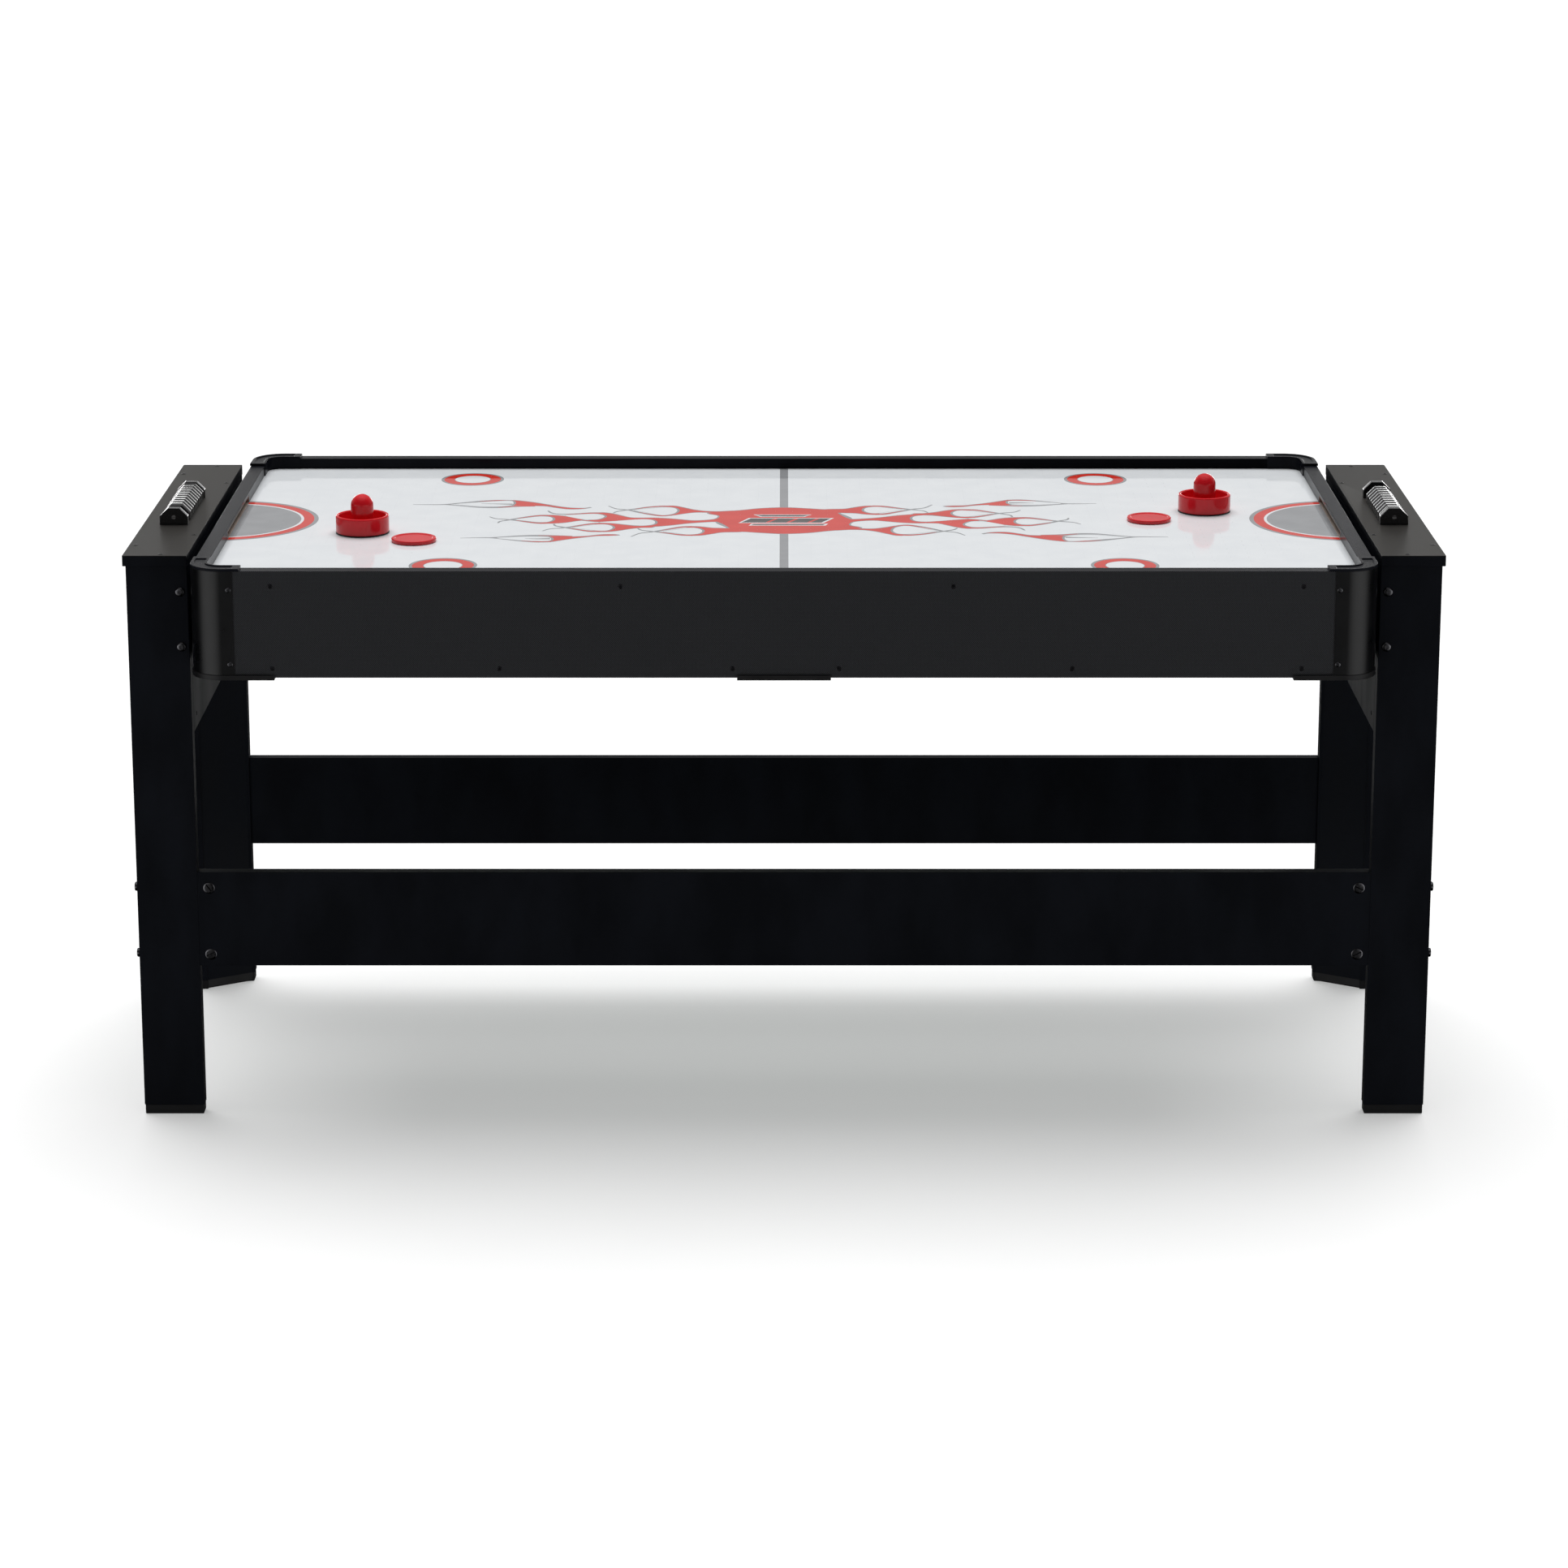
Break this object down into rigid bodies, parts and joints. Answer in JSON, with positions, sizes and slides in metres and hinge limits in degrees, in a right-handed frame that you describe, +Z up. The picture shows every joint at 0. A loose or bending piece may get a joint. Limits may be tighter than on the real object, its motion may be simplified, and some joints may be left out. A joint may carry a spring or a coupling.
{
  "type": "swivel games table",
  "caption": "Two-game swivel table on end frames: an air hockey field on top and a pool bed underneath, in a cabinet that turns over about its long axis.",
  "frame": {"origin": "on the floor, under the middle of the table", "axes": "+X along the table, towards the right end; +Y towards the rear; +Z up"},
  "size_m": [1.822, 0.809, 0.8505],
  "materials": {
    "black_board": "satin foil wrap",
    "cap_board": "satin laminate",
    "shoe_plastic": "moulded",
    "black_steel": "black zinc",
    "scorer_plastic": "gloss",
    "bright_steel": "bright",
    "nylon": "moulded",
    "brass_bush": "turned",
    "mesh_board": "printed fine mesh",
    "corner_plastic": "semi-gloss",
    "trim_plastic": "satin",
    "field_board": "gloss lacquer",
    "raw_board": "raw fibreboard",
    "pool_cloth": "napped cloth",
    "cushion_rubber": "cloth covered",
    "pocket_plastic": "moulded",
    "fan_plastic": "moulded",
    "red_plastic": "gloss",
    "black_felt": "felt"
  },
  "bodies": {
    "stand": {"front_left_leg": "black_board", "front_right_leg": "black_board", "rear_left_leg": "black_board", "rear_right_leg": "black_board", "foot_shoes": "shoe_plastic", "left_inner_panel": "black_board", "right_inner_panel": "black_board", "outer_panels": "black_board", "left_end_cap": "cap_board", "right_end_cap": "cap_board", "front_stretcher": "black_board", "rear_stretcher": "black_board", "frame_bolts": "black_steel", "barrel_nuts": "black_steel", "frame_screws": "black_steel", "scorer_mounts": "scorer_plastic", "scorer_rods": "bright_steel", "pivot_bushes": "nylon", "lock_housings": "nylon"},
    "cabinet": {"front_apron": "mesh_board", "rear_apron": "mesh_board", "left_apron": "mesh_board", "right_apron": "mesh_board", "front_left_corner": "corner_plastic", "front_right_corner": "corner_plastic", "rear_left_corner": "corner_plastic", "rear_right_corner": "corner_plastic", "corner_caps": "trim_plastic", "cabinet_screws": "black_steel", "bounce_rails": "trim_plastic", "goal_liners": "trim_plastic", "playfield": "field_board", "plenum_frame": "raw_board", "plenum_floor": "raw_board", "pool_bed": "raw_board", "pool_cloth": "pool_cloth", "long_cushions": "cushion_rubber", "end_cushions": "cushion_rubber", "corner_pockets": "pocket_plastic", "side_pockets": "pocket_plastic", "pivot_shafts": "bright_steel", "pivot_nuts": "bright_steel", "lock_bushes": "brass_bush", "blower_housing": "fan_plastic", "fan_motor": "bright_steel", "vent_grille": "fan_plastic", "switch_bezel": "fan_plastic", "power_inlet": "fan_plastic"},
    "left_lock_pin": {"left_lock_pin": "bright_steel"},
    "right_lock_pin": {"right_lock_pin": "bright_steel"},
    "left_score_beads": {"left_score_beads": "scorer_plastic"},
    "right_score_beads": {"right_score_beads": "scorer_plastic"},
    "fan_rotor": {"fan_rotor": "fan_plastic"},
    "power_switch": {"power_switch": "fan_plastic"},
    "left_pusher": {"left_pusher": "red_plastic", "left_pusher_felt": "black_felt"},
    "right_pusher": {"right_pusher": "red_plastic", "right_pusher_felt": "black_felt"},
    "left_puck": {"left_puck": "red_plastic"},
    "right_puck": {"right_puck": "red_plastic"}
  },
  "joints": [
    {"name": "table_flip", "type": "hinge", "parent": "stand", "child": "cabinet", "pos_m": [0, 0, 0.7355], "axis": [1, 0, 0], "range_deg": [0, 180]},
    {"name": "left_lock_slide", "type": "slide", "parent": "stand", "child": "left_lock_pin", "axis": [1, 0, 0], "range_m": [0, 0.026]},
    {"name": "right_lock_slide", "type": "slide", "parent": "stand", "child": "right_lock_pin", "axis": [-1, 0, 0], "range_m": [0, 0.026]},
    {"name": "left_score_slide", "type": "slide", "parent": "stand", "child": "left_score_beads", "axis": [0, -1, 0], "range_m": [0, 0.0206]},
    {"name": "right_score_slide", "type": "slide", "parent": "stand", "child": "right_score_beads", "axis": [0, 1, 0], "range_m": [0, 0.0206]},
    {"name": "fan_spin", "type": "hinge", "parent": "cabinet", "child": "fan_rotor", "pos_m": [-0.33, 0, 0.735], "axis": [0, 0, 1], "continuous": true},
    {"name": "power_rocker", "type": "hinge", "parent": "cabinet", "child": "power_switch", "pos_m": [-0.56, 0.3965, 0.7355], "axis": [-1, 0, 0], "range_deg": [0, 20]},
    {"name": "left_pusher_slide", "type": "slide", "parent": "cabinet", "child": "left_pusher", "axis": [0, 1, 0], "range_m": [-0.258, 0.42]},
    {"name": "right_pusher_slide", "type": "slide", "parent": "cabinet", "child": "right_pusher", "axis": [0, 1, 0], "range_m": [-0.405, 0.273]},
    {"name": "left_puck_slide", "type": "slide", "parent": "cabinet", "child": "left_puck", "axis": [1, 0, 0], "range_m": [0, 1]},
    {"name": "right_puck_slide", "type": "slide", "parent": "cabinet", "child": "right_puck", "axis": [1, 0, 0], "range_m": [-1, 0]}
  ]
}
